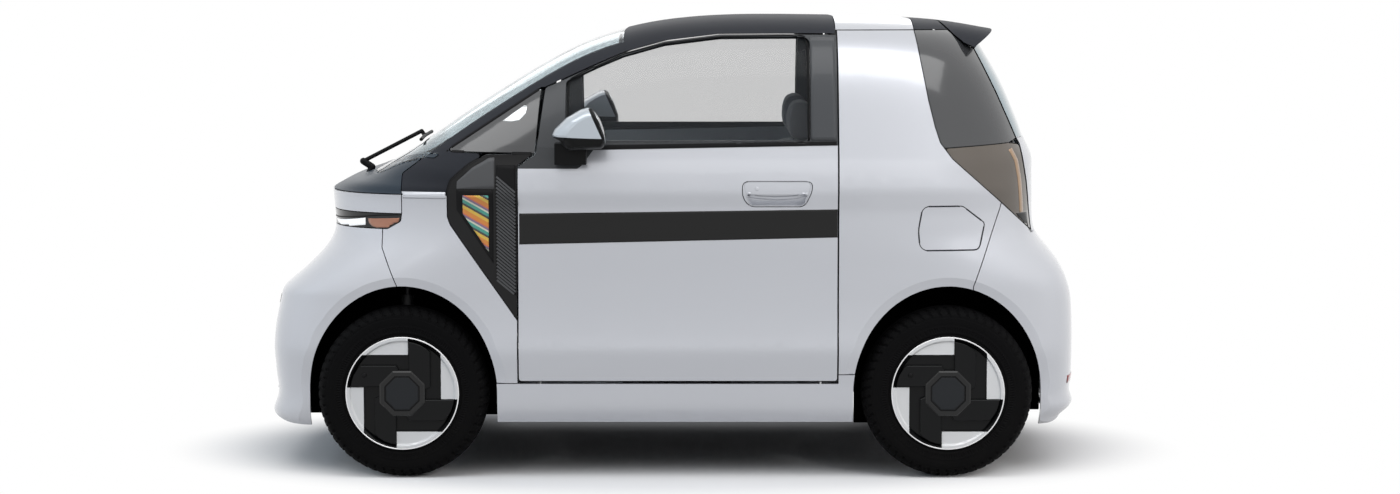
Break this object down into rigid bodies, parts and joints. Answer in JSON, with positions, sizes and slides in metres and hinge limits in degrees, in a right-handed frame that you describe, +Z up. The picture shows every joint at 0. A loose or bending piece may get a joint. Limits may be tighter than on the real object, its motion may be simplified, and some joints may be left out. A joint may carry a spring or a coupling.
{
  "type": "electric microcar",
  "caption": "Short two-seat electric car with side doors, a lifting tailgate, steered front wheels, a hollow cabin and a charging flap on the rear quarter.",
  "frame": {"origin": "on the ground under the centre of the body", "axes": "+X to the rear, +Y to the right of the car, +Z up; the nose points to -X"},
  "size_m": [2.7301, 1.8, 1.532],
  "materials": {
    "body_paint": "gloss",
    "dark_gloss": "gloss",
    "dark_trim": "satin",
    "lamp_lens": "clear",
    "tail_lens": "gloss",
    "dark_glass": "clear",
    "clear_glass": "clear",
    "liner": "rough",
    "structure": "satin",
    "chassis": "satin",
    "cast_iron": "rough",
    "steel": "satin",
    "battery": "satin",
    "motor": "cast",
    "cabin_trim": "grained",
    "seat_cloth": "woven",
    "tyre": "rubber",
    "wheel": "satin"
  },
  "bodies": {
    "body": {"floor_pan": "structure", "front_structure": "structure", "front_subframe": "chassis", "battery_pack": "battery", "drive_unit": "motor", "rear_axle": "chassis", "front_bumper": "body_paint", "nose_panel": "body_paint", "nose_grille": "dark_trim", "headlamps": "lamp_lens", "wings": "body_paint", "side_garnish": "dark_trim", "cowl_panel": "dark_gloss", "windscreen": "clear_glass", "roof_shell": "dark_gloss", "side_glass": "dark_glass", "hoop_panels": "body_paint", "rear_bumper": "body_paint", "tail_lamps": "tail_lens", "sills": "body_paint", "linings": "cabin_trim", "wheel_liners": "liner", "dashboard": "cabin_trim", "seats": "seat_cloth", "hinge_pins": "steel", "wiper": "dark_trim"},
    "door_left": {"door_left": "body_paint", "door_glass_left": "clear_glass", "mirror_left": "body_paint"},
    "door_right": {"door_right": "body_paint", "door_glass_right": "clear_glass", "mirror_right": "body_paint"},
    "tailgate": {"tailgate": "body_paint", "tailgate_glass": "dark_glass", "spoiler": "dark_gloss"},
    "charge_flap": {"charge_flap": "body_paint"},
    "knuckle_left": {"knuckle_left": "cast_iron"},
    "knuckle_right": {"knuckle_right": "cast_iron"},
    "steering_rack": {"steering_rack": "steel"},
    "steering_wheel": {"steering_wheel": "cabin_trim"},
    "front_left_wheel": {"tyre_front_left": "tyre", "wheel_front_left": "wheel"},
    "front_right_wheel": {"tyre_front_right": "tyre", "wheel_front_right": "wheel"},
    "rear_left_wheel": {"tyre_rear_left": "tyre", "wheel_rear_left": "wheel"},
    "rear_right_wheel": {"tyre_rear_right": "tyre", "wheel_rear_right": "wheel"}
  },
  "joints": [
    {"name": "steer_left", "type": "hinge", "parent": "body", "child": "knuckle_left", "pos_m": [-0.894, -0.55483, 0.285], "axis": [0, 0.1861, 0.9825], "range_deg": [-28, 28]},
    {"name": "steer_right", "type": "hinge", "parent": "body", "child": "knuckle_right", "pos_m": [-0.894, 0.55483, 0.285], "axis": [0, -0.1861, 0.9825], "range_deg": [-28, 28]},
    {"name": "rack_slide", "type": "slide", "parent": "body", "child": "steering_rack", "axis": [0, 1, 0], "range_m": [-0.0545, 0.0545]},
    {"name": "steering_wheel_turn", "type": "hinge", "parent": "body", "child": "steering_wheel", "pos_m": [-0.395, -0.3, 0.895], "axis": [0.8619, 0, 0.507], "range_deg": [-420, 420]},
    {"name": "spin_front_left", "type": "hinge", "parent": "knuckle_left", "child": "front_left_wheel", "pos_m": [-0.894, -0.635, 0.285], "axis": [0, 1, 0], "continuous": true},
    {"name": "spin_front_right", "type": "hinge", "parent": "knuckle_right", "child": "front_right_wheel", "pos_m": [-0.894, 0.635, 0.285], "axis": [0, 1, 0], "continuous": true},
    {"name": "spin_rear_left", "type": "hinge", "parent": "body", "child": "rear_left_wheel", "pos_m": [0.917, -0.635, 0.285], "axis": [0, 1, 0], "continuous": true},
    {"name": "spin_rear_right", "type": "hinge", "parent": "body", "child": "rear_right_wheel", "pos_m": [0.917, 0.635, 0.285], "axis": [0, 1, 0], "continuous": true},
    {"name": "open_door_left", "type": "hinge", "parent": "body", "child": "door_left", "pos_m": [-0.50871, -0.73862, 0.7], "axis": [0, 0, -1], "range_deg": [0, 65]},
    {"name": "open_door_right", "type": "hinge", "parent": "body", "child": "door_right", "pos_m": [-0.50871, 0.73862, 0.7], "axis": [0, 0, 1], "range_deg": [0, 65]},
    {"name": "lift_tailgate", "type": "hinge", "parent": "body", "child": "tailgate", "pos_m": [0.91225, 0, 1.5099], "axis": [0, -1, 0], "range_deg": [0, 70]},
    {"name": "open_charge_flap", "type": "hinge", "parent": "body", "child": "charge_flap", "pos_m": [0.814, -0.71703, 0.827], "axis": [0, 0, -1], "range_deg": [0, 100]}
  ],
  "couplings": [
    {"joint": "steer_right", "follows": "steer_left", "ratio": 1},
    {"joint": "rack_slide", "follows": "steer_left", "m_per_rad": 0.11},
    {"joint": "steering_wheel_turn", "follows": "steer_left", "ratio": 15}
  ]
}
